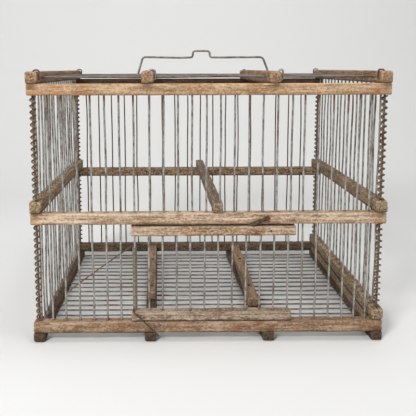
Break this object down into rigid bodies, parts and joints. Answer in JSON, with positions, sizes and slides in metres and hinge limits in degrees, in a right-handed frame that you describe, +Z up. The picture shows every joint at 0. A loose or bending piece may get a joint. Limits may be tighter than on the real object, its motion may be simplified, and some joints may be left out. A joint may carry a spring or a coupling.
{
  "type": "bird cage",
  "caption": "Bird breeding cage of bare wooden bars and metal wires, with a sprung swing door and its latch, corner posts wound with wire, a sliding perch and a carrying handle.",
  "frame": {"origin": "on the floor under the middle of the cage", "axes": "+X to the right along the rails as one faces the door, +Y to the back, +Z up"},
  "size_m": [0.402, 0.2962, 0.3387],
  "materials": {
    "frame_wood": "weathered bare softwood, greyed and worn at the edges",
    "dark_wood": "dark stained bare softwood",
    "door_wood": "pale bare softwood, handled smooth",
    "perch_wood": "grey bare softwood with an orange end grain",
    "wire": "dull galvanised steel wire with specks of rust",
    "rusty_wire": "thin steel wire, rusted brown",
    "post_wire": "darkened steel wire",
    "spring_wire": "steel spring wire, grey-green and rusty",
    "latch_metal": "old sheet metal, blackened and rusty",
    "nails": "rusty steel"
  },
  "bodies": {
    "cage": {"top_rail_front": "frame_wood", "top_rail_back": "frame_wood", "middle_rail_front": "frame_wood", "middle_rail_back": "frame_wood", "bottom_rail_front": "frame_wood", "bottom_rail_back": "frame_wood", "roof_bar_left": "frame_wood", "roof_bar_inner_left": "frame_wood", "roof_bar_inner_right": "frame_wood", "roof_bar_right": "frame_wood", "side_bar_left": "frame_wood", "side_bar_right": "frame_wood", "base_bar_right": "dark_wood", "filler_bar_right": "dark_wood", "floor_bar_left": "dark_wood", "floor_bar_inner_left": "dark_wood", "floor_bar_inner_right": "dark_wood", "floor_bar_right": "dark_wood", "floor_batten_left": "dark_wood", "floor_batten_right": "dark_wood", "corner_post_front_left": "post_wire", "corner_post_front_right": "post_wire", "corner_post_back_left": "post_wire", "corner_post_back_right": "post_wire", "post_ends": "post_wire", "front_wires_left": "wire", "front_wires_upper": "wire", "front_wires_right": "wire", "hinge_wire": "wire", "back_wires": "rusty_wire", "side_wires_left": "wire", "side_wires_right": "wire", "roof_wires": "wire", "floor_wires": "wire", "roof_nails": "nails", "floor_nails": "nails", "batten_nails": "nails", "spring_upper_leg": "spring_wire", "latch_nail": "nails"},
    "door": {"door_top_rail": "door_wood", "door_bottom_rail": "door_wood", "door_wires": "wire", "door_spring": "spring_wire"},
    "latch": {"latch_button": "latch_metal"},
    "perch": {"perch": "perch_wood"},
    "handle": {"handle": "wire"}
  },
  "joints": [
    {"name": "door_hinge", "type": "hinge", "parent": "cage", "child": "door", "pos_m": [-0.0838, -0.1395, 0.08], "axis": [0, 0, -1], "range_deg": [0, 110], "stiffness_Nm_per_rad": 0.02, "springref_deg": -28.65},
    {"name": "latch_turn", "type": "hinge", "parent": "cage", "child": "latch", "pos_m": [0.065, -0.1475, 0.1455], "axis": [0, -1, 0], "range_deg": [-70, 68]},
    {"name": "perch_lift", "type": "slide", "parent": "cage", "child": "perch", "axis": [0, 0, 1], "range_m": [0, 0.115]},
    {"name": "handle_turn", "type": "hinge", "parent": "cage", "child": "handle", "pos_m": [0, 0, 0.30275], "axis": [1, 0, 0], "range_deg": [-70, 70]}
  ]
}
